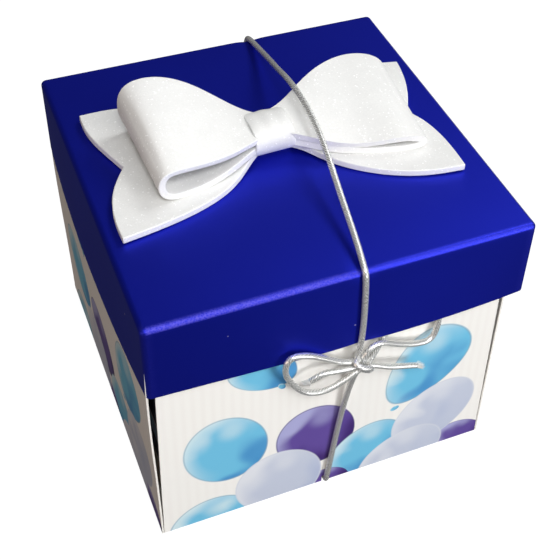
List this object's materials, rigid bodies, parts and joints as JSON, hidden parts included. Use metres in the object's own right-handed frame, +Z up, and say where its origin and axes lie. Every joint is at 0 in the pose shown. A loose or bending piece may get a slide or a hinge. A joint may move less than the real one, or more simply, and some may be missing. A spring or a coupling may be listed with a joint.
{
  "type": "gift box",
  "caption": "Square card gift box with a lift-off lid, fold-down printed walls, a second box inside, a foam bow and a tied elastic cord.",
  "frame": {"origin": "on the table, under the middle of the lid", "axes": "+X to the right across the front, -Y towards the front with the knot, +Z up"},
  "size_m": [0.104, 0.1112, 0.1031],
  "materials": {
    "blue_laminated_card": "satin laminated card",
    "printed_card": "coated card, printed with stripes and balloons",
    "inner_card": "uncoated cream card with coloured paper bands",
    "white_glitter_foam": "glitter craft foam",
    "glue_pad": "foam glue pad",
    "silver_cord": "metallic wrapped elastic cord"
  },
  "bodies": {
    "base": {"base_panel": "printed_card", "inner_base": "inner_card", "base_glue_pads": "glue_pad"},
    "lid": {"lid_shell": "blue_laminated_card", "lid_glue_tabs": "blue_laminated_card", "bow_glue_pad": "glue_pad", "bow_tails": "white_glitter_foam", "bow_loops": "white_glitter_foam", "bow_centre_band": "white_glitter_foam"},
    "front_wall": {"front_wall": "printed_card"},
    "back_wall": {"back_wall": "printed_card"},
    "left_wall": {"left_wall": "printed_card"},
    "right_wall": {"right_wall": "printed_card"},
    "inner_front_wall": {"inner_front_wall": "inner_card"},
    "inner_back_wall": {"inner_back_wall": "inner_card"},
    "inner_left_wall": {"inner_left_wall": "inner_card"},
    "inner_right_wall": {"inner_right_wall": "inner_card"},
    "cord": {"cord_around_box": "silver_cord", "cord_knot": "silver_cord", "cord_left_loop": "silver_cord", "cord_right_loop": "silver_cord", "cord_left_end": "silver_cord", "cord_right_end": "silver_cord"}
  },
  "joints": [
    {"name": "lid_lift", "type": "slide", "parent": "base", "child": "lid", "axis": [0, 0, 1], "range_m": [0, 0.33]},
    {"name": "cord_slip", "type": "slide", "parent": "base", "child": "cord", "axis": [1, 0, 0], "range_m": [0, 0.16], "deforming": ["cord_around_box", "cord_knot", "cord_left_loop", "cord_right_loop", "cord_left_end", "cord_right_end"]},
    {"name": "front_wall_fold", "type": "hinge", "parent": "base", "child": "front_wall", "pos_m": [0, -0.05095, 0], "axis": [1, 0, 0], "range_deg": [0, 90]},
    {"name": "back_wall_fold", "type": "hinge", "parent": "base", "child": "back_wall", "pos_m": [0, 0.04955, 0], "axis": [-1, 0, 0], "range_deg": [0, 90]},
    {"name": "left_wall_fold", "type": "hinge", "parent": "base", "child": "left_wall", "pos_m": [-0.0512, 0, 0], "axis": [0, -1, 0], "range_deg": [0, 90]},
    {"name": "right_wall_fold", "type": "hinge", "parent": "base", "child": "right_wall", "pos_m": [0.0468, 0, 0], "axis": [0, 1, 0], "range_deg": [0, 90]},
    {"name": "inner_front_fold", "type": "hinge", "parent": "base", "child": "inner_front_wall", "pos_m": [0, -0.04745, 0.0032], "axis": [1, 0, 0], "range_deg": [0, 90]},
    {"name": "inner_back_fold", "type": "hinge", "parent": "base", "child": "inner_back_wall", "pos_m": [0, 0.04605, 0.0032], "axis": [-1, 0, 0], "range_deg": [0, 90]},
    {"name": "inner_left_fold", "type": "hinge", "parent": "base", "child": "inner_left_wall", "pos_m": [-0.0477, 0, 0.0032], "axis": [0, -1, 0], "range_deg": [0, 90]},
    {"name": "inner_right_fold", "type": "hinge", "parent": "base", "child": "inner_right_wall", "pos_m": [0.0433, 0, 0.0032], "axis": [0, 1, 0], "range_deg": [0, 90]}
  ],
  "couplings": [
    {"joint": "front_wall_fold", "follows": "lid_lift", "rad_per_m": 4.7598},
    {"joint": "back_wall_fold", "follows": "lid_lift", "rad_per_m": 4.7598},
    {"joint": "left_wall_fold", "follows": "lid_lift", "rad_per_m": 4.7598},
    {"joint": "right_wall_fold", "follows": "lid_lift", "rad_per_m": 4.7598},
    {"joint": "inner_front_fold", "follows": "lid_lift", "rad_per_m": 4.7598},
    {"joint": "inner_back_fold", "follows": "lid_lift", "rad_per_m": 4.7598},
    {"joint": "inner_left_fold", "follows": "lid_lift", "rad_per_m": 4.7598},
    {"joint": "inner_right_fold", "follows": "lid_lift", "rad_per_m": 4.7598}
  ]
}
